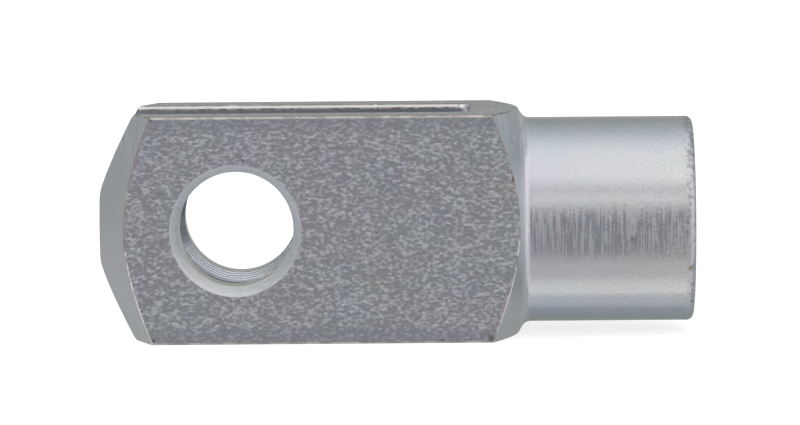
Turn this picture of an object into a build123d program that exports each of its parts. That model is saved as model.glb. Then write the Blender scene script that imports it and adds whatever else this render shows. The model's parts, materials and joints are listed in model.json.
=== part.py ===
"""Clevis rod end (fork head), size 10 x 20 with an M10 thread.

One piece of steel: a length of square bar is turned to a cone at both ends and
to a round neck, slotted from the fork end, cross-bored for the clevis pin and
drilled for the thread from the neck end.

Millimetres. The origin is the middle of the pin bore. +X runs along the rod
axis towards the neck, +Y along the pin axis and +Z up, so that the fork head
lies on one side of its bar.
"""

import os
from math import radians, sqrt, tan

from build123d import *

# Square bar that the head is made from, drawn a little under 20.
BAR_SIDE = 19.8
BAR_EDGE_RADIUS = 0.25

# Lengths along the rod axis, from the pin axis.
FORK_REACH = 12.0
NECK_REACH = 40.0
SHOULDER_REACH = 24.65

# Turned form: both cones have the same slope, taken from a plane across the axis.
CONE_SLOPE = 30.0
FORK_FACE_RADIUS = 5.85
FORK_FACE_BLEND = 1.2
NECK_DIAMETER = 18.0
NECK_ROOT_RADIUS = 0.9
NECK_END_RADIUS = 0.6

# Slot between the two ears.
SLOT_WIDTH = 10.0
SLOT_REACH = 20.4
SLOT_CORNER_RADIUS = 0.8
SLOT_EDGE_BREAK = 0.33

# Cross bore for the clevis pin, with a lead-in on each outer face.
PIN_BORE_DIAMETER = 10.0
PIN_LEAD_WIDTH = 0.75
PIN_LEAD_ANGLE = 45.0

# Bore for the M10 thread: tap drill straight through to the slot, broken mouth.
TAP_DRILL_DIAMETER = 8.5
MOUTH_DIAMETER = 10.5
MOUTH_ANGLE = 90.0

# Cutting bodies stand this far past the faces that they cut through.
CUTTER_OVERRUN = 1.0


def square_bar():
    """The bar between both ends, with its long edges just rounded."""
    length = FORK_REACH + NECK_REACH
    section = RectangleRounded(BAR_SIDE, BAR_SIDE, BAR_EDGE_RADIUS)
    bar = extrude(Plane.YZ * section, length)
    return Pos(X=-FORK_REACH) * bar


def turned_form():
    """The solid of revolution left by the lathe, wider than the bar between its cones."""
    slope = tan(radians(CONE_SLOPE))
    half_side = BAR_SIDE / 2
    neck_radius = NECK_DIAMETER / 2
    clear_radius = half_side * sqrt(2) + CUTTER_OVERRUN
    fork_cone_top = -FORK_REACH + slope * (clear_radius - FORK_FACE_RADIUS)
    shoulder_top = SHOULDER_REACH - slope * (clear_radius - half_side)
    shoulder_foot = SHOULDER_REACH + slope * (half_side - neck_radius)

    face_rim = (-FORK_REACH, FORK_FACE_RADIUS)
    neck_root = (shoulder_foot, neck_radius)
    neck_rim = (NECK_REACH, neck_radius)
    outline = Polyline(
        (-FORK_REACH, 0),
        face_rim,
        (fork_cone_top, clear_radius),
        (shoulder_top, clear_radius),
        neck_root,
        neck_rim,
        (NECK_REACH, 0),
        close=True,
    )
    profile = make_face(outline)
    for corner, radius in (
        (face_rim, FORK_FACE_BLEND),
        (neck_root, NECK_ROOT_RADIUS),
        (neck_rim, NECK_END_RADIUS),
    ):
        vertex = profile.vertices().sort_by_distance((*corner, 0))[0]
        profile = fillet(vertex, radius)
    return revolve(profile, axis=Axis.X)


def slot_cutter():
    """The slot, open at the fork end, with rounded corners at its floor."""
    length = FORK_REACH + CUTTER_OVERRUN + SLOT_REACH
    height = BAR_SIDE + 2 * CUTTER_OVERRUN
    plan = Pos(X=SLOT_REACH - length / 2) * Rectangle(length, SLOT_WIDTH)
    floor_corners = plan.vertices().group_by(Axis.X)[-1]
    plan = fillet(floor_corners, SLOT_CORNER_RADIUS)
    return Pos(Z=-height / 2) * extrude(plan, height)


def pin_cutter():
    """The pin bore through both ears, with its two conical lead-ins."""
    half_side = BAR_SIDE / 2
    bore_radius = PIN_BORE_DIAMETER / 2
    lead_slope = tan(radians(PIN_LEAD_ANGLE / 2))
    lead_depth = PIN_LEAD_WIDTH / lead_slope
    outer_radius = bore_radius + PIN_LEAD_WIDTH + CUTTER_OVERRUN * lead_slope
    lead_length = lead_depth + CUTTER_OVERRUN
    bore = Cylinder(bore_radius, BAR_SIDE + 2 * CUTTER_OVERRUN)
    lead = Cone(bore_radius, outer_radius, lead_length)
    lead_centre = half_side - lead_depth + lead_length / 2
    far_lead = Pos(Z=lead_centre) * lead
    near_lead = Rot(X=180) * far_lead
    return Rot(X=90) * (bore + far_lead + near_lead)


def thread_bore_cutter():
    """The tap-drill bore from the slot floor to the neck end, with its conical mouth."""
    bore_radius = TAP_DRILL_DIAMETER / 2
    mouth_slope = tan(radians(MOUTH_ANGLE / 2))
    mouth_depth = (MOUTH_DIAMETER / 2 - bore_radius) / mouth_slope
    outer_radius = MOUTH_DIAMETER / 2 + CUTTER_OVERRUN * mouth_slope
    start = SLOT_REACH - CUTTER_OVERRUN
    end = NECK_REACH + CUTTER_OVERRUN
    mouth_length = mouth_depth + CUTTER_OVERRUN
    bore = Pos(Z=(start + end) / 2) * Cylinder(bore_radius, end - start)
    mouth = Pos(Z=end - mouth_length / 2) * Cone(bore_radius, outer_radius, mouth_length)
    return Rot(Y=90) * (bore + mouth)


def slot_mouth_edges(body):
    """The edges where the slot's walls and floor come out through the bar's faces."""
    half_slot = SLOT_WIDTH / 2
    half_side = BAR_SIDE / 2
    chosen = []
    for edge in body.edges():
        middle = edge @ 0.5
        inside_slot = abs(middle.Y) < half_slot + 0.01 and middle.X < SLOT_REACH + 0.01
        on_bar_face = abs(abs(middle.Z) - half_side) < 0.01
        if inside_slot and on_bar_face:
            chosen.append(edge)
    return chosen


def make_fork_head():
    """The finished head: bar and lathe form, slotted, bored and deburred."""
    body = square_bar() & turned_form()
    body -= slot_cutter()
    body = chamfer(slot_mouth_edges(body), SLOT_EDGE_BREAK)
    body -= pin_cutter()
    body -= thread_bore_cutter()
    return body


os.makedirs("parts", exist_ok=True)
fork_head = make_fork_head()
fork_head.label = "fork_head"
export_step(fork_head, "parts/fork_head.step")
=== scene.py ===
"""Fork head of a clevis joint: M10 thread, 10 mm pin, square bar, zinc plated.

The CAD solid gives every size. ForkHead dresses a copy of it: the M10 thread and the far ear's
countersink are cut, the edges are broken as deburring leaves them, and each machined surface
gets its own finish. Studio makes the floor and the light, and Viewpoint the camera.

Every object is in metres in the frame of the CAD model: the origin is the middle of the pin
bore, +X runs along the rod to the neck, +Y along the pin and +Z up. Sizes and patterns are
written in millimetres, because that is how a machinist reads them.
"""

import json
import logging
import math
from dataclasses import dataclass
from enum import Enum
from functools import reduce
from typing import Iterable, Optional, Sequence, Union

import bmesh
import bpy
from mathutils import Matrix, Vector, noise


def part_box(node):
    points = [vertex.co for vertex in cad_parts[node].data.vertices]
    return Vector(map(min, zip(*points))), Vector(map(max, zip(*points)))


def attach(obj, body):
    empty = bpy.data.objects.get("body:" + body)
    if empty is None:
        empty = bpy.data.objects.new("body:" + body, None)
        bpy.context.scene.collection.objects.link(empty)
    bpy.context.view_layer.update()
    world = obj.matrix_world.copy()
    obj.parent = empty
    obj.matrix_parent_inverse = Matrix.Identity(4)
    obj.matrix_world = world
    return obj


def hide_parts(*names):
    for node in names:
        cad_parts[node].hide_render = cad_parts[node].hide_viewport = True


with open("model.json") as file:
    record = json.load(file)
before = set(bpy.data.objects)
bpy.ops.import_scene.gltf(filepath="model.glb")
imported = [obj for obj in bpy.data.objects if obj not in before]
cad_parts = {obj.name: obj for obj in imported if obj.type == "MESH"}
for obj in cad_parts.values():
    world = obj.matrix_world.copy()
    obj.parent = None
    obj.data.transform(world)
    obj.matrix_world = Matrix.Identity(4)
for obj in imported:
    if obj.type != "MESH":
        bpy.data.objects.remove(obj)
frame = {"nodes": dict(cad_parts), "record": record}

log = logging.getLogger("fork_head")

MM = 0.001
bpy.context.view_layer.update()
NODE = "fork_head"

Socket = bpy.types.NodeSocket
Number = Union[float, Socket]
Colour = tuple[float, float, float]
Span = tuple[float, float]
Surface = tuple[Socket, Number, Socket]
Mesh = bmesh.types.BMesh
Face = bmesh.types.BMFace
Edge = bmesh.types.BMEdge

# Sizes of the head, in millimetres except for its two corners, which are in metres. The packed
# model gives all but the last three.
MOUNTS = {mount["name"]: mount for mount in frame["record"]["mounts"]}
LOW_CORNER, HIGH_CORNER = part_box(NODE)
HALF_BAR = HIGH_CORNER.z / MM
FORK_END = LOW_CORNER.x / MM
NECK_END = HIGH_CORNER.x / MM
PIN_RADIUS = MOUNTS["pin_bore"]["dims"]["r_mm"]
TAP_DRILL_RADIUS = MOUNTS["rod_thread"]["dims"]["r_mm"]
HALF_SLOT = MOUNTS["far_slot_wall"]["pos_m"][1] / MM
SLOT_FLOOR = 20.4
NECK_ROOT = 25.15
NECK_START = 25.2

# The shortest way that still has a direction, in metres.
SHORTEST = 1e-7


class Region(Enum):
    """The surfaces of the head, by how each was made. The value is the material's index."""

    DRAWN = 0
    CONE = 1
    NECK = 2
    SLOT = 3
    MOUTH = 4
    BORE = 5
    LEAD = 6
    THREAD = 7
    EDGE = 8
    SINK = 9
    SLOT_EDGE = 10


class Graph:
    """A node tree of a material or a world, with one short call for each node it needs."""

    def __init__(self, tree: bpy.types.NodeTree) -> None:
        """Takes the node tree to fill and empties it."""
        self.tree = tree
        tree.nodes.clear()

    def node(
        self, kind: str, inputs: Optional[dict[Union[int, str], object]] = None, **settings: object
    ) -> bpy.types.Node:
        """Adds one node.

        Args:
            kind: The node's type name without its ShaderNode prefix.
            inputs: Values or sockets by input name or number.
            **settings: Attributes of the node.

        Returns:
            The new node.
        """
        made = self.tree.nodes.new("ShaderNode" + kind)
        for name, value in settings.items():
            setattr(made, name, value)
        for key, value in (inputs or {}).items():
            self.feed(made.inputs[key], value)
        return made

    def feed(self, target: Socket, value: object) -> None:
        """Links a socket to an input, or sets a plain value on it.

        Args:
            target: The input socket.
            value: An output socket, a number or a colour.
        """
        if isinstance(value, bpy.types.NodeSocket):
            self.tree.links.new(value, target)
        elif target.type == "RGBA":
            target.default_value = (*value, 1.0)
        else:
            target.default_value = value

    def math(self, operation: str, first: Number, second: Number = 0.0) -> Socket:
        """Returns the result of a Math node of that operation."""
        return self.node("Math", {0: first, 1: second}, operation=operation).outputs[0]

    def plus(self, first: Number, second: Number) -> Socket:
        """Returns the sum of two numbers."""
        return self.math("ADD", first, second)

    def minus(self, first: Number, second: Number) -> Socket:
        """Returns the first number less the second."""
        return self.math("SUBTRACT", first, second)

    def times(self, first: Number, second: Number) -> Socket:
        """Returns the product of two numbers."""
        return self.math("MULTIPLY", first, second)

    def total(self, *terms: Number) -> Socket:
        """Returns the sum of several numbers."""
        return reduce(self.plus, terms)

    def vector(self, operation: str, first: object, second: object = (0.0, 0.0, 0.0)) -> Socket:
        """Returns the vector result of a Vector Math node of that operation."""
        return self.node("VectorMath", {0: first, 1: second}, operation=operation).outputs[0]

    def length(self, vector: Socket) -> Socket:
        """Returns the length of a vector."""
        return self.node("VectorMath", {0: vector}, operation="LENGTH").outputs["Value"]

    def parts(self, vector: Socket) -> list[Socket]:
        """Returns the X, Y and Z of a vector as three sockets."""
        return list(self.node("SeparateXYZ", {0: vector}).outputs)

    def joined(self, x: Number, y: Number, z: Number) -> Socket:
        """Returns a vector made of three numbers."""
        return self.node("CombineXYZ", {0: x, 1: y, 2: z}).outputs[0]

    def grey(self, level: Number) -> Socket:
        """Returns the colour, or the factor for a colour, that has one level throughout."""
        return self.joined(level, level, level)

    def step(
        self, value: Number, low: Number, high: Number, bottom: Number = 0.0, top: Number = 1.0
    ) -> Socket:
        """Returns bottom below low, top above high, and a smooth change between them."""
        inputs = {0: value, 1: low, 2: high, 3: bottom, 4: top}
        return self.node("MapRange", inputs, interpolation_type="SMOOTHSTEP").outputs[0]

    def noise(self, vector: Socket, scale: float, detail: float = 2.0, roughness: float = 0.5) -> Socket:
        """Returns noise from 0 to 1, with scale as its cells to a millimetre."""
        inputs = {"Vector": vector, "Scale": scale, "Detail": detail, "Roughness": roughness}
        return self.node("TexNoise", inputs).outputs[0]

    def clouded(self, colour: object, vector: Socket, scale: float, strength: float) -> Socket:
        """Returns a colour whose hue and level stray a little from place to place.

        Args:
            colour: The colour to vary.
            vector: Where to read the clouds, in millimetres.
            scale: Clouds to a millimetre.
            strength: How far they stray, as a share of the colour.

        Returns:
            The varied colour.
        """
        inputs = {"Vector": vector, "Scale": scale, "Detail": 1.0, "Roughness": 0.5}
        hues = self.node("TexNoise", inputs).outputs["Color"]
        factors = {0: hues, 1: (strength,) * 3, 2: (1.0 - strength / 2,) * 3}
        clouds = self.node("VectorMath", factors, operation="MULTIPLY_ADD").outputs[0]
        return self.vector("MULTIPLY", clouds, colour)

    def blend(self, factor: Number, first: object, second: object) -> Socket:
        """Blends two colours.

        Args:
            factor: 0 for the first colour, 1 for the second.
            first: The first colour.
            second: The second colour.

        Returns:
            The colour between them.
        """
        made = self.node("Mix", data_type="RGBA")
        self.feed(made.inputs[0], factor)
        self.feed(made.inputs[6], first)
        self.feed(made.inputs[7], second)
        return made.outputs[2]

    def bump(self, height: Socket) -> Socket:
        """Returns a normal bent by a height in millimetres."""
        return self.node("Bump", {"Height": height, "Strength": 1.0, "Distance": MM}).outputs[0]

    def output(self, kind: str, shader: Socket) -> None:
        """Ends the tree in an output node of that kind."""
        self.feed(self.node(kind).inputs["Surface"], shader)


class Plating(Graph):
    """The node tree of a finish on the head.

    Attributes:
        point: The point being shaded, in millimetres in the frame of the head.
        x: Its place along the rod.
        y: Its place along the pin.
        z: Its height.
    """

    def __init__(self, tree: bpy.types.NodeTree) -> None:
        """Empties the tree and finds the point being shaded.

        Args:
            tree: The node tree to fill.
        """
        super().__init__(tree)
        metres = self.node("TexCoord").outputs["Object"]
        scaled = self.node("VectorMath", {0: metres, "Scale": 1.0 / MM}, operation="SCALE")
        self.point = scaled.outputs[0]
        self.x, self.y, self.z = self.parts(self.point)


@dataclass(frozen=True)
class Mark:
    """A small stain or bright rub on a surface, or a spot of painted highlight or painted shade.

    Attributes:
        place: Middle of the mark in millimetres.
        radius: Its radius in millimetres.
        colour: Its colour.
        grain: Lumps to a millimetre in its ragged outline.
        whole: Share of the radius within which the mark is whole.
        reach: Share of the radius at which it has gone.
        cover: How much of the plating it hides where it is whole.
    """

    place: tuple[float, float, float]
    radius: float
    colour: Colour
    grain: float = 4.0
    whole: float = 0.4
    reach: float = 1.7
    cover: float = 0.8

    def share(self, graph: Plating) -> Socket:
        """Builds the mark's ragged spot.

        Args:
            graph: The material's nodes.

        Returns:
            How much of the plating the mark hides there.
        """
        ragged = graph.noise(graph.point, self.grain)
        distance = graph.length(graph.vector("SUBTRACT", graph.point, self.place))
        outwards = graph.plus(distance, graph.times(ragged, self.radius))
        return graph.step(outwards, self.radius * self.whole, self.radius * self.reach, self.cover, 0.0)


@dataclass(frozen=True)
class ZincFinish:
    """Zinc plating over a machined surface. Each kind of surface is a subclass.

    Attributes:
        name: Name of the material.
        colour: Colour of the plating where it is clean.
        dull_colour: Its colour where it is dull.
        roughness: Roughness of the plating where it is clean.
        marks: Stains and rubs.
    """

    name: str
    colour: Colour
    dull_colour: Colour
    roughness: float
    marks: tuple[Mark, ...] = ()

    def material(self) -> bpy.types.Material:
        """Makes the material.

        Returns:
            The material, ready for a slot.
        """
        made = bpy.data.materials.new(self.name)
        made.use_nodes = True
        graph = Plating(made.node_tree)
        colour, roughness, normal = self.surface(graph)
        for mark in self.marks:
            colour = graph.blend(mark.share(graph), colour, mark.colour)
        inputs = {"Base Color": colour, "Metallic": 1.0, "Roughness": roughness, "Normal": normal}
        shader = graph.node("BsdfPrincipled", inputs)
        graph.output("OutputMaterial", shader.outputs[0])
        return made

    def surface(self, graph: Plating) -> Surface:
        """Returns the colour, the roughness and the normal of this kind of surface."""
        raise NotImplementedError


@dataclass(frozen=True)
class DrawnFinish(ZincFinish):
    """The bar's faces as drawn: a pebbled skin, darker and smoother towards the bar's edges.

    Attributes:
        grain: Pebbles to a millimetre.
        stretch: Pebbles to a millimetre along the bar, as a share of those across it.
        depth: Height of the pebbles in millimetres.
        fleck_offset: Shift in millimetres that keeps the flecks of clean plating off the pebbles.
        fleck_levels: Levels of the noise between which the plating turns from dull to clean.
        clouds: Scale and strength of each layer of clouds in the colour.
        margin: Width in millimetres of the darker strip along the bar's edges.
        margin_colour: What that strip keeps of the colour.
        margin_fade: How far the flecks fade there.
        margin_depth: What the pebbles keep of their height there.
        rounding: Distances in millimetres from the bar's sides between which its edges end.
        rub_levels: Levels of the noise between which those edges turn from dull to rubbed.
        edge_colour: Colour of the plating where it is rubbed on the bar's rounded edges.
        edge_dull_colour: Its colour where those edges aren't rubbed.
    """

    grain: float = 3.8
    stretch: float = 0.64
    depth: float = 0.055
    fleck_offset: tuple[float, float, float] = (41.0, 17.0, 23.0)
    fleck_levels: Span = (0.54, 0.92)
    clouds: tuple[Span, ...] = ((3.8, 0.13), (0.25, 0.10))
    margin: float = 1.7
    margin_colour: Colour = (0.84, 0.85, 0.875)
    margin_fade: float = 0.35
    margin_depth: float = 0.45
    rounding: Span = (0.08, 0.3)
    rub_levels: Span = (0.40, 0.60)
    edge_colour: Colour = (0.72, 0.68, 0.62)
    edge_dull_colour: Colour = (0.44, 0.41, 0.38)

    def surface(self, graph: Plating) -> Surface:
        """Builds the skin and the bar's rounded edges.

        Args:
            graph: The material's nodes.

        Returns:
            The colour, the roughness and the normal.
        """
        nearer = graph.math("MINIMUM", graph.math("ABSOLUTE", graph.y), graph.math("ABSOLUTE", graph.z))
        inwards = graph.minus(HALF_BAR, nearer)
        drawn_out = graph.vector("MULTIPLY", graph.point, (self.stretch, 1.0, 1.0))
        pebbles = graph.noise(drawn_out, self.grain, detail=0.5)
        # The flecks are a little finer than the pebbles, and there are more of them on their tops.
        flecks_at = graph.vector("ADD", drawn_out, self.fleck_offset)
        flecks = graph.noise(flecks_at, self.grain * 1.1, detail=1.0, roughness=0.45)
        clean = graph.step(graph.plus(flecks, graph.times(pebbles, 0.3)), *self.fleck_levels)
        colour = graph.blend(clean, self.dull_colour, self.colour)
        for scale, strength in self.clouds:
            colour = graph.clouded(colour, graph.point, scale, strength)
        plain = tuple((clear + dull) / 2 for clear, dull in zip(self.colour, self.dull_colour))
        margin_colour = graph.blend(self.margin_fade, colour, plain)
        margin_colour = graph.vector("MULTIPLY", margin_colour, self.margin_colour)
        colour = graph.blend(graph.step(inwards, self.margin / 2, self.margin), margin_colour, colour)
        rubbed = graph.step(graph.noise(graph.point, 0.7, detail=3.0, roughness=0.65), *self.rub_levels)
        edge_colour = graph.blend(rubbed, self.edge_dull_colour, self.edge_colour)
        colour = graph.blend(graph.step(inwards, *self.rounding), edge_colour, colour)
        depth = graph.step(inwards, 0.1, self.margin, self.margin_depth * self.depth, self.depth)
        return colour, self.roughness, graph.bump(graph.times(pebbles, depth))


@dataclass(frozen=True)
class TurnedFinish(ZincFinish):
    """A surface off the lathe: feed lines round the rod axis, some of them torn and dull.

    Attributes:
        pitch: Distance between feed lines in millimetres.
        slant: How much further along the rod the pattern lies for each millimetre off its axis.
        waver: How quickly the lines change round the rod, as a share of their change along it.
        torn: How much rougher the torn lines are.
        torn_levels: Levels of the noise between which a line turns from clean to torn.
        torn_and_shade_height: Height, in front and behind, of the band where the lines tear
            and painted shade lies; on the neck that band faces the dark front of the room.
        torn_reach: Distances in millimetres from there between which the tearing and the
            painted shade grow less.
        torn_beyond: What is left of the tearing and the painted shade past them.
        torn_highlight: How much brighter a torn line is painted, as a share of the painted
            shade: a painted highlight.
        smear_and_shade: How much darker the plating is painted between the torn lines there:
            painted shade.
        shade_blue: How much bluer that painted shade is.
        shade_blue: How much bluer it is there.
        ripple: Height of the plating's unevenness in millimetres.
        grit: Height of the grit on it in millimetres.
        grit_levels: Levels of the grit between which the plating turns from dull to clean.
        clouds: Scale and strength of each layer of clouds in the colour.
        cool_colour: Colour of the plating at the root end.
        cool_end: Where along the rod the cooler colour has gone.
        cool_fade: Where it starts to go and has gone, in millimetres from cool_end.
        root_highlight: How much brighter the plating is painted in the fillet at the neck's root:
            a painted highlight.
        root_reach: Distances in millimetres from the fillet between which that painted highlight goes.
        worn_end: Where along the rod the scuffed rim starts.
        worn_fade: Where it sets in and is whole, in millimetres from worn_end.
        worn_radii: Distances in millimetres from the rod axis between which it sets in.
        worn_colour: Colour of the scuffed rim.
        worn_shade: What a dark scuff keeps of that colour.
        worn_levels: Levels of the noise between which the rim turns from a dark scuff to plain.
        worn_roughness: How much rougher the scuffed rim is.
    """

    pitch: float = 0.2
    slant: float = 0.25
    waver: float = 0.05
    torn: float = 0.19
    torn_levels: Span = (0.655, 0.80)
    torn_and_shade_height: float = -0.4
    torn_reach: Span = (2.2, 3.4)
    torn_beyond: float = 0.25
    torn_highlight: float = 0.4
    smear_and_shade: float = 0.28
    shade_blue: float = 0.02
    ripple: float = 0.02
    grit: float = 0.012
    grit_levels: Span = (0.3, 0.62)
    clouds: tuple[Span, ...] = ((0.2, 0.09), (2.6, 0.09))
    cool_colour: Colour = (0.70, 0.712, 0.745)
    cool_end: float = NECK_END
    cool_fade: Span = (-10.0, 4.0)
    root_highlight: float = 0.16
    root_reach: Span = (0.2, 0.55)
    worn_end: float = NECK_END + 5.0
    worn_fade: Span = (0.55, 1.05)
    worn_radii: Span = (8.0, 8.5)
    worn_colour: Colour = (0.735, 0.73, 0.765)
    worn_shade: float = 0.64
    worn_levels: Span = (0.34, 0.52)
    worn_roughness: float = 0.18

    def surface(self, graph: Plating) -> Surface:
        """Builds the feed lines and the plating over them.

        Args:
            graph: The material's nodes.

        Returns:
            The colour, the roughness and the normal.
        """
        radius = graph.length(graph.joined(0.0, graph.y, graph.z))
        along = graph.plus(graph.x, graph.times(radius, self.slant))
        across, upwards = graph.times(graph.y, self.waver), graph.times(graph.z, self.waver)
        lengthwise = graph.joined(along, across, upwards)
        lines = graph.noise(lengthwise, 1.0 / self.pitch, detail=2.0, roughness=0.7)
        # Lines tear together in bands about three of them wide, and their ends are ragged.
        bands = graph.noise(lengthwise, 0.3 / self.pitch, detail=2.0, roughness=0.6)
        grit = graph.noise(graph.point, 4.5, detail=2.0, roughness=0.65)
        mottle = graph.noise(graph.point, 0.9, detail=3.0, roughness=0.55)
        from_patch = graph.math("ABSOLUTE", graph.minus(graph.z, self.torn_and_shade_height))
        patch_end = graph.plus(from_patch, graph.times(bands, 1.6))
        torn_shade_band = graph.step(patch_end, *self.torn_reach, 1.0, self.torn_beyond)
        lines = graph.total(lines, graph.times(bands, 0.25), graph.times(grit, 0.2))
        torn = graph.times(graph.step(lines, *self.torn_levels), torn_shade_band)
        height = graph.plus(graph.times(mottle, self.ripple), graph.times(grit, self.grit))
        colour = graph.blend(graph.step(grit, *self.grit_levels), self.dull_colour, self.colour)
        colour = self.cooled_and_highlit(graph, colour)
        # Painted shade and painted highlight: in the band the plating is painted darker and bluer
        # between the torn lines and brighter on them; on the neck the band faces the dark front of the
        # room.
        between = 1.0 - self.smear_and_shade
        dark = (between, between, between + self.shade_blue)
        streak_shade = graph.blend(torn, dark, (1.0 + self.torn_highlight * self.smear_and_shade,) * 3)
        colour = graph.blend(torn_shade_band, colour, graph.vector("MULTIPLY", colour, streak_shade))
        for scale, strength in self.clouds:
            colour = graph.clouded(colour, graph.point, scale, strength)
        roughness = graph.plus(graph.times(torn, self.torn), self.roughness)
        worn = self.worn_share(graph, radius)
        colour = graph.blend(worn, colour, self.scuffs(graph))
        roughness = graph.plus(roughness, graph.times(worn, self.worn_roughness))
        return colour, roughness, graph.bump(height)

    def cooled_and_highlit(self, graph: Plating, colour: Socket) -> Socket:
        """Cools the plating towards the root end and paints a highlight in the root's fillet.

        Args:
            graph: The material's nodes.
            colour: The colour of the plating before that.

        Returns:
            The changed colour.
        """
        # Broad clouds let the cooler colour end up to 8 mm sooner or later.
        cloud = graph.times(graph.noise(graph.point, 0.15), 8.0)
        start, end = (self.cool_end + distance for distance in self.cool_fade)
        cool = graph.step(graph.plus(graph.x, cloud), start, end, 1.0, 0.0)
        colour = graph.blend(cool, colour, self.cool_colour)
        # Painted highlight: the fillet at the neck's root is painted brighter.
        from_root = graph.math("ABSOLUTE", graph.minus(graph.x, NECK_ROOT))
        lift = graph.step(from_root, *self.root_reach, 1.0 + self.root_highlight, 1.0)
        return graph.vector("MULTIPLY", colour, graph.grey(lift))

    def worn_share(self, graph: Plating, radius: Socket) -> Socket:
        """Finds the scuffed rim.

        Args:
            graph: The material's nodes.
            radius: The shaded point's distance from the rod axis, in millimetres.

        Returns:
            1 on the rim and 0 away from it.
        """
        # The rim's inner border is ragged over 1.6 mm.
        ragged = graph.times(graph.noise(graph.point, 1.6, detail=3.0, roughness=0.7), 1.6)
        start, end = (self.worn_end + distance for distance in self.worn_fade)
        worn = graph.step(graph.plus(graph.x, ragged), start, end)
        return graph.times(worn, graph.step(radius, *self.worn_radii))

    def scuffs(self, graph: Plating) -> Socket:
        """Builds the scuffs of the rim, a little more of them higher up.

        Args:
            graph: The material's nodes.

        Returns:
            The colour of the scuffed rim.
        """
        scuffs = graph.plus(graph.noise(graph.point, 2.4, roughness=0.55), graph.times(graph.z, -0.01))
        dark = tuple(self.worn_shade * part for part in self.worn_colour)
        return graph.blend(graph.step(scuffs, *self.worn_levels), dark, self.worn_colour)


@dataclass(frozen=True)
class MilledFinish(ZincFinish):
    """The slot's walls and floor: arcs of the slotting cutter.

    Attributes:
        cutter_radius: Radius of the slotting cutter in millimetres.
        arcs: Arcs to a millimetre.
        arc_depth: Depth of the cutter's arcs in millimetres.
        dull_levels: Levels of the noise between which the plating turns from clean to dull.
    """

    cutter_radius: float = 40.0
    arcs: float = 3.0
    arc_depth: float = 0.006
    dull_levels: Span = (0.8, 1.2)

    def surface(self, graph: Plating) -> Surface:
        """Builds the cutter's arcs.

        Args:
            graph: The material's nodes.

        Returns:
            The colour, the roughness and the normal.
        """
        from_cutter = graph.length(graph.joined(graph.plus(graph.x, self.cutter_radius), 0.0, graph.z))
        outwards = graph.joined(from_cutter, 0.0, 0.0)
        arcs = graph.noise(outwards, self.arcs, detail=3.0, roughness=0.6)
        dull = graph.step(graph.plus(arcs, graph.noise(graph.point, 1.2)), *self.dull_levels)
        colour = graph.blend(dull, self.colour, self.dull_colour)
        return colour, self.roughness, graph.bump(graph.times(arcs, self.arc_depth))


@dataclass(frozen=True)
class GroovedFinish(ZincFinish):
    """Even rings round the pin axis, as a countersink leaves them inside the slot.

    Attributes:
        pitch: Distance between the rings in millimetres.
        depth: Depth of the rings in millimetres.
        waver: How far the rings waver, in radians of one ring's turn.
        ring_levels: Levels of a ring between which the plating turns from dull to clean.
        deep_levels: Levels of the noise between which the rings reach their depth.
        painted_shade_colour: Colour of the painted shade towards the fork's end, where the slot
            is dark inside and no rings show.
        painted_shade_end: Length less height, in millimetres, between which the painted shade goes.
    """

    pitch: float = 0.17
    depth: float = 0.007
    waver: float = 3.0
    ring_levels: Span = (-0.6, 0.6)
    deep_levels: Span = (0.2, 0.6)
    painted_shade_colour: Colour = (0.30, 0.40, 0.46)
    painted_shade_end: Span = (-6.5, -2.0)

    def surface(self, graph: Plating) -> Surface:
        """Builds the rings and the painted shade.

        Args:
            graph: The material's nodes.

        Returns:
            The colour, the roughness and the normal.
        """
        from_pin = graph.length(graph.joined(graph.x, 0.0, graph.z))
        uneven = graph.noise(graph.point, 1.3)
        turn = graph.times(from_pin, math.tau / self.pitch)
        rings = graph.math("SINE", graph.plus(turn, graph.times(uneven, self.waver)))
        # Painted shade: the countersink is painted dark towards the fork's end, where the slot is dark
        # inside.
        painted_shade = graph.step(graph.minus(graph.x, graph.z), *self.painted_shade_end, 1.0, 0.0)
        deep = graph.step(uneven, *self.deep_levels)
        deep = graph.times(deep, graph.step(painted_shade, 0.0, 1.0, self.depth, 0.0))
        colour = graph.blend(graph.step(rings, *self.ring_levels), self.dull_colour, self.colour)
        colour = graph.blend(painted_shade, colour, self.painted_shade_colour)
        return colour, self.roughness, graph.bump(graph.times(rings, deep))


@dataclass(frozen=True)
class BoredFinish(ZincFinish):
    """The pin bore and its lead-ins: feed rings round the pin axis.

    Attributes:
        pitch: Distance between the rings in millimetres.
        depth: Depth of the rings in millimetres.
        flare: How much the face opens outwards, as height lost to a millimetre from the pin axis.
        dull_levels: Levels of the noise between which the plating turns from clean to dull.
        shade_above: What the plating keeps of its colour above the lowest part of the hole:
            painted shade, so that the bottom stays lightest.
        shade_heights: Heights in millimetres between which that painted shade sets in.
    """

    pitch: float = 0.25
    depth: float = 0.004
    flare: float = 0.0
    dull_levels: Span = (0.8, 1.25)
    shade_above: Colour = (1.0, 1.0, 1.0)
    shade_heights: Span = (-4.6, -1.0)

    def surface(self, graph: Plating) -> Surface:
        """Builds the rings.

        Args:
            graph: The material's nodes.

        Returns:
            The colour, the roughness and the normal.
        """
        from_pin = graph.length(graph.joined(graph.x, 0.0, graph.z))
        outwards = graph.joined(graph.plus(graph.y, from_pin), graph.times(graph.x, 0.03), 0.0)
        rings = graph.noise(outwards, 1.0 / self.pitch, detail=2.0, roughness=0.6)
        rough = graph.plus(rings, graph.noise(graph.point, 1.5, detail=3.0, roughness=0.6))
        height = graph.minus(graph.times(rough, self.depth), graph.times(from_pin, self.flare))
        colour = graph.blend(graph.step(rough, *self.dull_levels), self.colour, self.dull_colour)
        # Painted shade: above the lowest part of the hole the colour is painted darker.
        kept = graph.blend(graph.step(graph.z, *self.shade_heights), (1.0, 1.0, 1.0), self.shade_above)
        return graph.vector("MULTIPLY", colour, kept), self.roughness, graph.bump(height)


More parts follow.
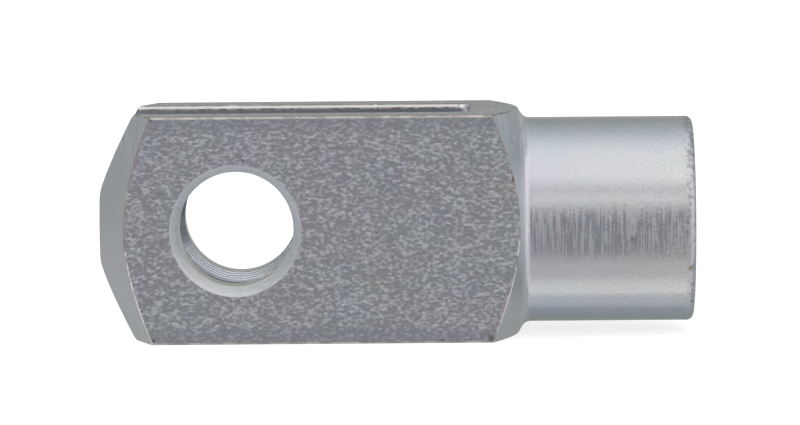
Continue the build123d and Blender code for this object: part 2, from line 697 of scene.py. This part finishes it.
@dataclass(frozen=True)
class EdgeFinish(ZincFinish):
    """Broken edges: rubbed bright, with small brown and dark specks where the plating is thin.

    Attributes:
        rub: How much more of the lower edges take the bright colour, and how much less of the upper
            ones.
        rub_heights: Heights in millimetres between which that turns.
        rub_levels: Levels of the noise between which an edge turns from dull to rubbed.
        speck_share: Level of the noise over which a speck shows: lower gives more specks.
        speck_colour: Colour of the specks.
        grit: Height of the grit on the edge in millimetres.
    """

    rub: float = 0.10
    rub_heights: Span = (-3.5, -0.5)
    rub_levels: Span = (0.43, 0.62)
    speck_share: float = 0.66
    speck_colour: Colour = (0.20, 0.155, 0.13)
    grit: float = 0.01

    def surface(self, graph: Plating) -> Surface:
        """Builds the rubbed edge.

        Args:
            graph: The material's nodes.

        Returns:
            The colour, the roughness and the normal.
        """
        rub = graph.step(graph.z, *self.rub_heights, self.rub, -self.rub)
        wear = graph.plus(graph.noise(graph.point, 0.6, detail=3.0, roughness=0.65), rub)
        specks = graph.noise(graph.point, 1.6)
        colour = graph.blend(graph.step(wear, *self.rub_levels), self.dull_colour, self.colour)
        share = graph.step(specks, self.speck_share, self.speck_share + 0.05)
        colour = graph.blend(share, colour, self.speck_colour)
        return colour, self.roughness, graph.bump(graph.times(graph.noise(graph.point, 3.0), self.grit))


@dataclass(frozen=True)
class SoftSource:
    """A soft strip of light along the rod axis, by the angle round that axis.

    The angle is 0 at the horizon in front of the object, 90 overhead and -90 below.

    Attributes:
        dark_start: Angle in degrees where it starts to rise.
        full_start: Angle where it is full.
        full_end: Angle where it starts to fall.
        dark_end: Angle where it has fallen.
        colour: Its colour, at the strength that it adds to the ambient light.
    """

    dark_start: float
    full_start: float
    full_end: float
    dark_end: float
    colour: Colour

    def shine(self, graph: Graph, angle: Socket) -> Socket:
        """Builds the source's light.

        Args:
            graph: The world's nodes.
            angle: The angle round the rod axis, in degrees.

        Returns:
            The light that this source adds there.
        """
        rise = graph.step(angle, self.dark_start, self.full_start)
        fall = graph.step(angle, self.full_end, self.dark_end, 1.0, 0.0)
        return graph.blend(graph.times(rise, fall), (0.0, 0.0, 0.0), self.colour)


@dataclass
class Studio:
    """The pale floor under the object and the plain soft light round it.

    A direction's parts are those of its unit vector.

    Attributes:
        floor_half_width: Half the side of the floor, in metres.
        floor_colour: Colour of the floor under the room's light.
        floor_lift: White that the floor adds for the camera, so that it is as white as the room.
        backdrop_back: Backward parts of a direction between which the white backdrop starts.
        backdrop_top: Upward parts between which it ends, just below the horizon.
        ambient: Light from where no source stands.
        end_sides: Sideways parts of a direction between which the light beyond the ends starts.
        end_turn: Backward parts between which that light turns from front to back.
        end_lean: How much further back it turns for directions high above the neck.
        end_low: Upward parts between which the light behind turns from low to plain.
        front_sides: Light from beyond both ends of the rod, in front of it.
        back_sides: The same behind the rod.
        low_sides: The same behind the rod and below it.
        side_tilt: How far the light beyond the neck stands higher and that beyond the fork lower.
        first_angle: Angle round the rod axis, in degrees, where the sources' scale starts.
        sources: The soft sources.
    """

    floor_half_width: float = 3.0
    floor_colour: Colour = (0.86, 0.86, 0.86)
    floor_lift: float = 0.61
    backdrop_back: Span = (0.99, 0.996)
    backdrop_top: Span = (-0.04, -0.02)
    ambient: Colour = (0.283, 0.313, 0.293)
    end_sides: Span = (0.21, 0.61)
    end_turn: Span = (-0.25, 0.1)
    end_lean: float = 0.35
    end_low: Span = (-0.3, -0.05)
    front_sides: Colour = (0.74, 0.74, 0.75)
    back_sides: Colour = (0.42, 0.44, 0.46)
    low_sides: Colour = (0.45, 0.46, 0.47)
    side_tilt: float = 0.33
    first_angle: float = -150.0
    sources: Sequence[SoftSource] = (
        SoftSource(17.0, 57.0, 73.0, 125.0, (0.626, 0.616, 0.613)),
        SoftSource(2.0, 25.0, 28.0, 37.0, (0.355, 0.355, 0.338)),
        SoftSource(-122.0, -104.0, -53.0, -26.0, (0.208, 0.198, 0.188)),
        SoftSource(-92.0, -90.0, -80.0, -61.0, (0.290, 0.277, 0.291)),
        SoftSource(71.0, 111.0, 114.0, 164.0, (0.250, 0.267, 0.315)),
        SoftSource(-149.0, -122.0, -98.0, -81.0, (0.047, 0.055, 0.111)),
        SoftSource(140.0, 174.0, 190.0, 204.0, (0.139, 0.106, 0.085)),
        SoftSource(-75.0, -72.0, 29.0, 119.0, (0.074, 0.048, 0.084)),
    )

    def mirrored(self, graph: Graph) -> Socket:
        """Returns 1 for rays that come off metal or through glass, and 0 for the others."""
        path = graph.node("LightPath")
        return graph.math("MAXIMUM", path.outputs["Is Glossy Ray"], path.outputs["Is Transmission Ray"])

    def light_round(self, graph: Graph, y: Socket, z: Socket) -> Socket:
        """Builds the light that stands round the rod axis.

        Args:
            graph: The world's nodes.
            y: Backward part of the direction.
            z: Its upward part.

        Returns:
            The light from there.
        """
        turn = graph.math("DEGREES", graph.math("ARCTAN2", z, graph.times(y, -1.0)))
        scale = {0: turn, 1: self.first_angle + 360.0, 2: self.first_angle}
        angle = graph.node("Math", scale, operation="WRAP").outputs[0]
        light = graph.vector("ADD", self.ambient)
        for source in self.sources:
            light = graph.vector("ADD", light, source.shine(graph, angle))
        return light

    def light_beyond(self, graph: Graph, x: Socket, y: Socket, z: Socket) -> Socket:
        """Builds the light beyond both ends of the rod.

        Args:
            graph: The world's nodes.
            x: Part of the direction along the rod.
            y: Its backward part.
            z: Its upward part.

        Returns:
            The light from there.
        """
        behind = graph.blend(graph.step(z, *self.end_low), self.low_sides, self.back_sides)
        above_neck = graph.times(graph.math("MAXIMUM", x, 0.0), graph.math("MAXIMUM", z, 0.0))
        backwards = graph.minus(y, graph.times(above_neck, self.end_lean))
        light = graph.blend(graph.step(backwards, *self.end_turn), self.front_sides, behind)
        tilt = graph.plus(graph.times(graph.times(x, z), self.side_tilt), 1.0)
        return graph.vector("MULTIPLY", light, graph.grey(tilt))

    def build_world(self) -> None:
        """Makes the room: soft light for the metal and the floor, plain white for the camera.

        Mirrored rays see that white as well where the backdrop stands behind the object.
        """
        world = bpy.data.worlds.new("soft_room")
        bpy.context.scene.world = world
        world.use_nodes = True
        graph = Graph(world.node_tree)
        x, y, z = graph.parts(graph.node("TexCoord").outputs["Generated"])
        light = self.light_round(graph, y, z)
        beyond = self.light_beyond(graph, x, y, z)
        light = graph.blend(graph.step(graph.math("ABSOLUTE", x), *self.end_sides), light, beyond)
        below = graph.step(z, *self.backdrop_top, 1.0, 0.0)
        backdrop = graph.times(graph.step(y, *self.backdrop_back), below)
        white = graph.times(self.mirrored(graph), backdrop)
        seen = graph.math("MAXIMUM", graph.node("LightPath").outputs["Is Camera Ray"], white)
        colour = graph.blend(seen, light, (1.0, 1.0, 1.0))
        background = graph.node("Background", {"Color": colour, "Strength": 1.0})
        graph.output("OutputWorld", background.outputs[0])

    def build_floor(self, level: float) -> bpy.types.Object:
        """Makes the floor.

        Args:
            level: Height of the floor, in metres.

        Returns:
            The floor.
        """
        bm = bmesh.new()
        bmesh.ops.create_grid(bm, x_segments=1, y_segments=1, size=self.floor_half_width)
        bmesh.ops.translate(bm, verts=bm.verts, vec=(0.0, 0.0, level))
        floor = object_from(bm, "floor")
        material = bpy.data.materials.new("white_paper")
        material.use_nodes = True
        graph = Graph(material.node_tree)
        paper = graph.node("BsdfDiffuse", {"Color": self.floor_colour}).outputs[0]
        white = {"Color": (1.0, 1.0, 1.0), "Strength": self.floor_lift}
        lift = graph.node("Emission", white).outputs[0]
        seen = graph.node("LightPath").outputs["Is Camera Ray"]
        lifted = graph.node("AddShader", {0: paper, 1: lift}).outputs[0]
        shader = graph.node("MixShader", {0: seen, 1: paper, 2: lifted}).outputs[0]
        graph.output("OutputMaterial", shader)
        floor.data.materials.append(material)
        floor.visible_glossy = False
        return floor


@dataclass(frozen=True)
class Viewpoint:
    """The camera: a long lens half a metre in front of the object, looking slightly down.

    Attributes:
        place: Position of the lens, in millimetres.
        yaw: Turn of the line of sight from +Y towards +X, in degrees.
        pitch: Angle of the line of sight below the horizon, in degrees.
        roll: Turn of the camera about its line of sight, in degrees.
        lens: Focal length in millimetres.
        sensor: Width of the sensor in millimetres.
        sight: Nearest and farthest distance that the camera sees, in metres.
    """

    place: tuple[float, float, float] = (16.989, -520.0, 45.020)
    yaw: float = -0.3042
    pitch: float = 4.8759
    roll: float = -0.4813
    lens: float = 266.18
    sensor: float = 36.0
    sight: Span = (0.01, 20.0)

    def build(self) -> bpy.types.Object:
        """Makes the camera and gives it to the scene.

        Returns:
            The camera object.
        """
        data = bpy.data.cameras.new("camera")
        data.lens = self.lens
        data.sensor_width = self.sensor
        data.clip_start, data.clip_end = self.sight
        camera = bpy.data.objects.new("camera", data)
        upright = Matrix.Rotation(math.radians(90.0 - self.pitch), 4, "X")
        turned = Matrix.Rotation(math.radians(-self.yaw), 4, "Z")
        rolled = Matrix.Rotation(math.radians(self.roll), 4, "Z")
        moved = Matrix.Translation(Vector(self.place) * MM)
        camera.matrix_world = moved @ turned @ upright @ rolled
        bpy.context.scene.collection.objects.link(camera)
        bpy.context.scene.camera = camera
        return camera


def object_from(bm: Mesh, name: str) -> bpy.types.Object:
    """Turns a bmesh into an object at the origin and frees it.

    Args:
        bm: The mesh.
        name: Name of the object and its mesh.

    Returns:
        The object, linked to the scene.
    """
    mesh = bpy.data.meshes.new(name)
    bm.to_mesh(mesh)
    bm.free()
    made = bpy.data.objects.new(name, mesh)
    bpy.context.scene.collection.objects.link(made)
    return made


def difference(body: Mesh, cutter: Mesh) -> Mesh:
    """Takes one closed mesh out of another.

    Args:
        body: The mesh to cut. It is freed.
        cutter: The mesh to take out. It is freed.

    Returns:
        What is left, as a new mesh.
    """
    whole = object_from(body, "whole")
    tool = object_from(cutter, "tool")
    cut = whole.modifiers.new("cut", "BOOLEAN")
    cut.operation = "DIFFERENCE"
    cut.solver = "EXACT"
    cut.object = tool
    graph = bpy.context.evaluated_depsgraph_get()
    left = bpy.data.meshes.new_from_object(whole.evaluated_get(graph))
    result = bmesh.new()
    result.from_mesh(left)
    for used in (whole, tool):
        bpy.data.meshes.remove(used.data)
    bpy.data.meshes.remove(left)
    return result


@dataclass
class Tap:
    """The M10 tap, as the helical ridge that it cuts into the drilled bore.

    Attributes:
        pitch: Pitch of the thread in millimetres.
        major_radius: Radius of the groove's floor in millimetres.
        floor_share: Width of the groove's floor as a share of the pitch.
        flank: Angle of each flank in degrees.
        overrun: How far the ridge reaches into the open bore, in millimetres.
        start: Where the thread ends inside, along the rod axis.
        end: Where the tap enters, past the neck's end.
        steps: Facets to a turn.
    """

    pitch: float = 1.5
    major_radius: float = 5.0
    floor_share: float = 0.125
    flank: float = 30.0
    overrun: float = 0.1
    start: float = NECK_END - 16.0
    end: float = NECK_END + 1.5
    steps: int = 48

    def build(self) -> Mesh:
        """Sweeps the thread's groove along its helix.

        Returns:
            The closed ridge, in metres.
        """
        inner_radius = TAP_DRILL_RADIUS - self.overrun
        outer_half = self.pitch * self.floor_share / 2
        inner_half = outer_half + (self.major_radius - inner_radius) * math.tan(math.radians(self.flank))
        section = ((-inner_half, inner_radius), (-outer_half, self.major_radius))
        section += ((outer_half, self.major_radius), (inner_half, inner_radius))
        bm = bmesh.new()
        corners = [bm.verts.new(Vector((self.start + x, 0.0, r)) * MM) for x, r in section]
        profile = bm.faces.new(corners)
        turns = (self.end - self.start) / self.pitch
        count = round(turns * self.steps)
        lead = Vector((self.pitch / self.steps, 0.0, 0.0)) * MM
        bmesh.ops.spin(
            bm, geom=[profile, *profile.edges, *profile.verts], cent=(0.0, 0.0, 0.0),
            axis=(1.0, 0.0, 0.0), dvec=lead, angle=math.tau * count / self.steps, steps=count,
            use_duplicate=False,
        )
        bmesh.ops.holes_fill(bm, edges=[edge for edge in bm.edges if edge.is_boundary])
        bmesh.ops.recalc_face_normals(bm, faces=bm.faces)
        return bm


@dataclass
class SlotSink:
    """The countersink on the far ear's slot side, which frees the pin bore of its burr.

    Attributes:
        width: Width of the conical face in millimetres, seen along the pin.
        overrun: How far the cutter reaches past the metal at both ends, in millimetres.
        steps: Facets round the cutter.
    """

    width: float = 0.85
    overrun: float = 0.1
    steps: int = 96

    def build(self) -> Mesh:
        """Makes the cutter, a cone of 90 degrees round the pin axis.

        Returns:
            The closed cutter, in metres.
        """
        bm = bmesh.new()
        small_radius = PIN_RADIUS - self.overrun
        depth = self.width + 2 * self.overrun
        along_pin = Matrix.Rotation(math.radians(-90), 4, "X")
        middle = Matrix.Translation(Vector((0.0, HALF_SLOT - self.overrun + depth / 2, 0.0)) * MM)
        bmesh.ops.create_cone(
            bm, cap_ends=True, segments=self.steps, radius1=(small_radius + depth) * MM,
            radius2=small_radius * MM, depth=depth * MM, matrix=middle @ along_pin,
        )
        return bm


@dataclass(frozen=True)
class Borders:
    """Where one surface of the head ends and the next begins.

    Places and distances are in millimetres. A normal's parts are those of its unit vector.

    Attributes:
        thread_radius: Distance from the rod axis within which the thread lies.
        bore_mouth: Distance from the pin axis within which the bore and its mouths lie.
        slot_wall: Distance from the middle past which the ears begin.
        slot_edge: Distance from the middle within which the slot's broken edges lie.
        slot_side: Distance from the middle within which the slot and its mouth lie.
        floor_edge: Where along the rod the slot's broken edges have ended.
        floor_end: Where along the rod the slot has ended.
        floor_side: Distance from the middle within which the slot's end lies.
        fork_cone_end: Where along the rod the cone of the fork end has ended.
        mouth_height: Height past which the rounded mouth of the slot lies.
        mouth_radius: Distance from the rod axis within which it lies.
        bar_side: Distance from the rod axis past which the bar's sides lie.
        level: Part of a normal below which a face lies exactly along that axis.
        along: Part of a normal below which a face lies along that axis.
        sloping: Part of a normal past which a face slopes towards that axis.
        steep: Part of a normal past which it slopes more than the cones do.
        facing: Part of a normal past which a face looks along that axis.
        flat: Part of a normal past which a face is shaded flat.
    """

    thread_radius: float = Tap.major_radius + 0.05
    bore_mouth: float = PIN_RADIUS + 1.0
    slot_wall: float = HALF_SLOT + 0.05
    slot_edge: float = HALF_SLOT + 0.2
    slot_side: float = HALF_SLOT + 0.45
    floor_edge: float = SLOT_FLOOR + 0.1
    floor_end: float = SLOT_FLOOR + 0.5
    floor_side: float = HALF_SLOT + 0.5
    fork_cone_end: float = FORK_END + 4.0
    mouth_height: float = HALF_BAR - 0.5
    mouth_radius: float = 12.0
    bar_side: float = HALF_BAR - 0.3
    level: float = 0.02
    along: float = 0.1
    sloping: float = 0.5
    steep: float = 0.6
    facing: float = 0.9
    flat: float = 0.9999


@dataclass
class ForkHead:
    """The fork head, dressed over a copy of its CAD solid.

    Attributes:
        finishes: The finish of each region.
        borders: Where the regions end.
        edge_break: Width in millimetres that deburring takes off each sharp edge.
        edge_wobble: How far the broken edges stray, in millimetres.
        edge_stride: Length in millimetres over which they may stray.
        edge_waves: Waves to a millimetre and share of each layer of that straying.
        ridge_rise: The most that an edge's ridge rises, as a share of the wobble.
        ridge_share: How far the ridge strays, as a share of the rest.
        sharp_angle: Angle in degrees past which an edge is sharp enough to be broken.
        crease_angle: Angle in degrees past which two faces don't shade into each other.
        plane_angle: Angle in degrees within which triangles lie in one plane.
        merge_distance: Distance in millimetres within which corners are one.
        body: The CAD body that it rides on.
        slot: The record's material slot. Not used.
    """

    finishes: dict[Region, ZincFinish]
    borders: Borders = Borders()
    edge_break: float = 0.085
    edge_wobble: float = 0.04
    edge_stride: float = 0.3
    edge_waves: tuple[Span, ...] = ((1.1, 1.0), (3.3, 0.7))
    ridge_rise: float = 0.1
    ridge_share: float = 0.5
    sharp_angle: float = 24.0
    crease_angle: float = 35.0
    plane_angle: float = 0.05
    merge_distance: float = 0.001
    body: str = "root"
    slot: str = "zinc_plated_steel"

    def solid_copy(self) -> Mesh:
        """Copies the CAD solid as one closed mesh.

        Returns:
            The copy, with its triangles merged.
        """
        bm = bmesh.new()
        bm.from_mesh(frame["nodes"][NODE].data)
        bmesh.ops.remove_doubles(bm, verts=bm.verts, dist=self.merge_distance * MM)
        return bm

    def join_flats(self, bm: Mesh) -> None:
        """Joins triangles that lie in one plane into whole faces."""
        angle = math.radians(self.plane_angle)
        bmesh.ops.dissolve_limit(bm, angle_limit=angle, verts=bm.verts, edges=bm.edges)

    def in_thread(self, point: Vector) -> bool:
        """Says whether a point is in the tapped bore, where edges stay sharp."""
        radius = math.hypot(point.y, point.z) / MM
        return radius < self.borders.thread_radius and point.x / MM > self.borders.floor_end

    def sharp_edges(self, bm: Mesh) -> list[Edge]:
        """Finds the edges that deburring takes the sharpness off.

        Args:
            bm: The mesh to look through.

        Returns:
            The outer edges and those of the slot, without the thread and the pin bore's lead-ins.
        """
        sharp = []
        for edge in bm.edges:
            middle = (edge.verts[0].co + edge.verts[1].co) / 2
            near_pin = math.hypot(middle.x, middle.z) / MM < self.borders.bore_mouth
            at_bore = near_pin and abs(middle.y) / MM > self.borders.slot_wall
            if edge.is_convex and not at_bore and not self.in_thread(middle):
                if edge.calc_face_angle(0.0) > math.radians(self.sharp_angle):
                    sharp.append(edge)
        return sharp

    def divide(self, bm: Mesh, edges: Iterable[Edge]) -> None:
        """Cuts edges into short lengths, so that the strips they become can stray.

        Args:
            bm: The mesh to work on.
            edges: The edges to cut.
        """
        by_cuts: dict[int, list[Edge]] = {}
        for edge in edges:
            cuts = int(edge.calc_length() / (self.edge_stride * MM))
            by_cuts.setdefault(cuts, []).append(edge)
        for cuts in sorted(by_cuts):
            if cuts > 0:
                bmesh.ops.bisect_edges(bm, edges=by_cuts[cuts], cuts=cuts)

    def break_edges(self, bm: Mesh) -> set[Face]:
        """Takes the sharpness off the outer edges and the slot.

        Args:
            bm: The mesh to work on.

        Returns:
            The narrow faces that the edges became.
        """
        self.divide(bm, self.sharp_edges(bm))
        bm.normal_update()
        made = bmesh.ops.bevel(
            bm, geom=self.sharp_edges(bm), offset=self.edge_break * MM, offset_type="OFFSET",
            segments=2, profile=0.5, affect="EDGES", clamp_overlap=False, material=-1,
        )
        strips = set(made["faces"])
        self.roughen(strips)
        bm.normal_update()
        return strips

    def roughen(self, strips: set[Face]) -> None:
        """Lets the broken edges stray, as a file or a tumbling drum leaves them.

        A strip's outer corners slide in the faces beside it, and its ridge sinks in places.

        Args:
            strips: The faces of the broken edges.
        """
        moves = []
        for vertex in {vertex for face in strips for vertex in face.verts}:
            beside = [face for face in vertex.link_faces if face not in strips]
            place = vertex.co / MM
            stray = sum(share * noise.noise(place * waves) for waves, share in self.edge_waves)
            if beside:
                own = [face for face in vertex.link_faces if face in strips]
                middle = sum((face.calc_center_median() for face in own), Vector()) / len(own)
                outwards = vertex.co - middle
                for face in beside:
                    outwards -= outwards.dot(face.normal) * face.normal
                if outwards.length > SHORTEST:
                    moves.append((vertex, outwards.normalized() * stray * self.edge_wobble * MM))
            else:
                rise = vertex.normal * min(stray, self.ridge_rise)
                moves.append((vertex, rise * self.edge_wobble * self.ridge_share * MM))
        for vertex, move in moves:
            vertex.co += move

    def edge_region_of(self, face: Face) -> Region:
        """Tells whether a broken edge runs along the slot or round the outside.

        Args:
            face: A face of a broken edge.

        Returns:
            Its region.
        """
        middle = face.calc_center_median() / MM
        if middle.x > self.borders.floor_edge and abs(middle.y) < self.borders.floor_side:
            return Region.DRAWN
        if math.hypot(middle.x, middle.z) < self.borders.bore_mouth:
            return Region.SLOT
        return Region.SLOT_EDGE if abs(middle.y) < self.borders.slot_edge else Region.EDGE

    def region_of(self, face: Face) -> Region:
        """Tells how a face was made from where it lies and where it faces.

        Args:
            face: A face that isn't a broken edge.

        Returns:
            Its region.
        """
        borders = self.borders
        middle = face.calc_center_median() / MM
        normal = face.normal
        if all(self.in_thread(vertex.co) for vertex in face.verts):
            return Region.THREAD
        if math.hypot(middle.x, middle.z) < borders.bore_mouth and abs(normal.y) < borders.facing:
            if abs(normal.y) < borders.along:
                return Region.BORE
            return Region.SINK if normal.y * middle.y < 0 else Region.LEAD
        if abs(middle.y) < borders.slot_side and middle.x < borders.floor_end:
            on_fork_end = middle.x < borders.fork_cone_end and normal.x < -borders.sloping
            if abs(normal.z) < borders.along and not on_fork_end:
                return Region.SLOT
            outside = math.hypot(middle.y, middle.z) < borders.mouth_radius
            rounded = borders.sloping < abs(normal.z) < borders.facing
            if rounded and outside and abs(middle.z) > borders.mouth_height:
                return Region.DRAWN if normal.x < -borders.steep else Region.MOUTH
        if abs(normal.x) < borders.level and max(abs(middle.y), abs(middle.z)) > borders.bar_side:
            return Region.DRAWN
        return Region.NECK if middle.x > NECK_START else Region.CONE

    def assign(self, bm: Mesh, strips: set[Face]) -> None:
        """Gives each face its region's material, and shades it flat or smooth.

        Args:
            bm: The mesh to work on.
            strips: The faces of the broken edges.
        """
        for face in bm.faces:
            region = self.edge_region_of(face) if face in strips else self.region_of(face)
            face.material_index = region.value
            planar = max(abs(part) for part in face.normal) > self.borders.flat
            face.smooth = not (planar and region in (Region.DRAWN, Region.SLOT))
        for edge in bm.edges:
            kinds = {face.material_index for face in edge.link_faces}
            creased = edge.calc_face_angle(0.0) >= math.radians(self.crease_angle)
            edge.smooth = len(kinds) == 1 and not creased

    def build(self) -> bpy.types.Object:
        """Builds the piece.

        Returns:
            The finished object.
        """
        bm = self.solid_copy()
        self.join_flats(bm)
        bm = difference(bm, Tap().build())
        bm = difference(bm, SlotSink().build())
        bm.normal_update()
        self.assign(bm, self.break_edges(bm))
        piece = object_from(bm, "zinc_plated_fork_head")
        for region in Region:
            piece.data.materials.append(self.finishes[region].material())
        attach(piece, self.body)
        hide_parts(NODE)
        return piece


BROWN = (0.20, 0.135, 0.105)
DARK = (0.20, 0.185, 0.19)
PAINTED_HIGHLIGHT = (0.97, 0.97, 0.97)
FACE_MARKS = (
    Mark((22.0, -9.9, 9.65), 0.16, (0.38, 0.24, 0.20)),
    Mark((-7.2, -9.9, 9.66), 0.20, BROWN),
    Mark((-8.3, -9.9, 7.4), 0.26, (0.42, 0.27, 0.22)),
    Mark((-8.5, -9.9, 6.8), 0.20, (0.38, 0.27, 0.24)),
    Mark((-8.6, -9.85, 7.2), 0.14, DARK),
    Mark((-7.2, -9.9, -9.5), 0.24, (0.14, 0.10, 0.085)),
    Mark((-8.9, -9.9, -5.7), 0.13, (0.30, 0.21, 0.18)),
    Mark((-8.2, -9.9, -6.9), 0.16, (0.36, 0.22, 0.18)),
    Mark((23.0, -9.9, 7.6), 0.14, DARK),
    Mark((23.4, -9.9, 6.6), 0.15, DARK),
    Mark((17.9, -9.9, -9.65), 0.22, DARK),
    Mark((17.1, -9.9, -9.55), 0.15, DARK),
    Mark((20.3, -9.9, -9.6), 0.16, DARK),
    Mark((-3.07, -9.9, -9.7), 0.14, DARK),
    Mark((22.1, -9.9, -9.45), 0.38, (0.11, 0.09, 0.08)),
    Mark((0.74, -9.9, 6.1), 0.20, DARK),
)
NECK_MARKS = (
    Mark((34.5, -8.9, -1.05), 0.28, (0.30, 0.22, 0.14)),
    Mark((39.45, -8.2, -3.7), 0.30, (0.40, 0.28, 0.20)),
    Mark((39.7, -5.8, -6.8), 0.22, (0.08, 0.05, 0.04)),
)
SLOT_MARKS_AND_PAINTED_LIGHT = (
    # Painted highlight: these two light marks round off the bright line along the far ear's slot edge at
    # the slot's end.
    Mark((19.95, 4.95, 9.55), 0.8, PAINTED_HIGHLIGHT),
    Mark((20.0, 5.2, 9.8), 0.5, PAINTED_HIGHLIGHT),
    # Painted shade: these two black marks darken the edge break's facet at the slot's end.
    Mark((20.1, 5.4, 9.9), 0.2, (0.05, 0.05, 0.05)),
    Mark((20.35, 5.3, 9.85), 0.2, (0.05, 0.05, 0.05)),
    Mark((19.5, 5.2, 9.8), 0.13, DARK),
    Mark((19.5, 5.05, 9.6), 0.13, DARK),
    Mark((19.5, 5.0, 9.4), 0.13, DARK),
)
CONE_MARKS = (
    Mark((-9.85, -5.5, 7.85), 0.15, DARK),
    Mark((-10.4, -5.45, 6.7), 0.12, DARK),
    Mark((-8.6, -9.75, 7.3), 0.16, BROWN),
)

FINISHES = {
    Region.DRAWN: DrawnFinish(
        "drawn_bar_zinc", (0.835, 0.845, 0.87), (0.475, 0.482, 0.505), 0.36, FACE_MARKS,
    ),
    Region.CONE: TurnedFinish(
        "turned_cone_zinc", (0.69, 0.73, 0.74), (0.655, 0.695, 0.71), 0.32, CONE_MARKS,
        torn=0.05, torn_and_shade_height=8.5, smear_and_shade=0.12, cool_colour=(0.70, 0.71, 0.715), cool_end=10.0,
    ),
    Region.NECK: TurnedFinish(
        "turned_neck_zinc", (0.77, 0.77, 0.77), (0.675, 0.675, 0.69), 0.12, NECK_MARKS,
        pitch=0.21, smear_and_shade=0.19, worn_end=NECK_END - 0.8,
    ),
    Region.SLOT: MilledFinish(
        "milled_slot_zinc", (0.60, 0.63, 0.70), (0.50, 0.53, 0.60), 0.3, SLOT_MARKS_AND_PAINTED_LIGHT,
    ),
    Region.SLOT_EDGE: EdgeFinish(
        "slot_edge_zinc", (0.50, 0.46, 0.44), (0.34, 0.30, 0.28), 0.4, SLOT_MARKS_AND_PAINTED_LIGHT, speck_share=0.5,
    ),
    Region.MOUTH: EdgeFinish(
        "slot_mouth_zinc", (0.84, 0.84, 0.83), (0.72, 0.72, 0.72), 0.25, SLOT_MARKS_AND_PAINTED_LIGHT, speck_share=0.8,
    ),
    Region.BORE: BoredFinish("bored_pin_hole_zinc", (0.72, 0.74, 0.73), (0.66, 0.68, 0.68), 0.3),
    Region.LEAD: BoredFinish(
        "pin_lead_in_zinc", (0.975, 0.975, 0.975), (0.85, 0.86, 0.87), 0.5, depth=0.012, flare=0.9,
        shade_above=(0.85, 0.87, 0.90),
    ),
    Region.THREAD: BoredFinish("tapped_thread_zinc", (0.55, 0.55, 0.54), (0.36, 0.36, 0.36), 0.35),
    Region.EDGE: EdgeFinish(
        "broken_edge_zinc", (0.90, 0.855, 0.85), (0.37, 0.34, 0.325), 0.36, FACE_MARKS,
    ),
    Region.SINK: GroovedFinish(
        "slot_countersink_zinc", (0.80, 0.82, 0.85), (0.62, 0.65, 0.70), 0.25,
    ),
}


def main() -> None:
    """Builds the object, the studio and the camera, and reports them."""
    logging.basicConfig(level=logging.INFO, format="%(name)s: %(message)s")
    bpy.context.scene.view_settings.view_transform = "Standard"
    camera = Viewpoint().build()
    log.info("%s stands %.3f m from the pin axis", camera.name, camera.matrix_world.translation.length)
    studio = Studio()
    studio.build_world()
    floor = studio.build_floor(LOW_CORNER.z)
    log.info("%s lies at %.4f m", floor.name, LOW_CORNER.z)
    piece = ForkHead(FINISHES).build()
    log.info("%s has %d faces", piece.name, len(piece.data.polygons))


if __name__ == "__main__":
    main()
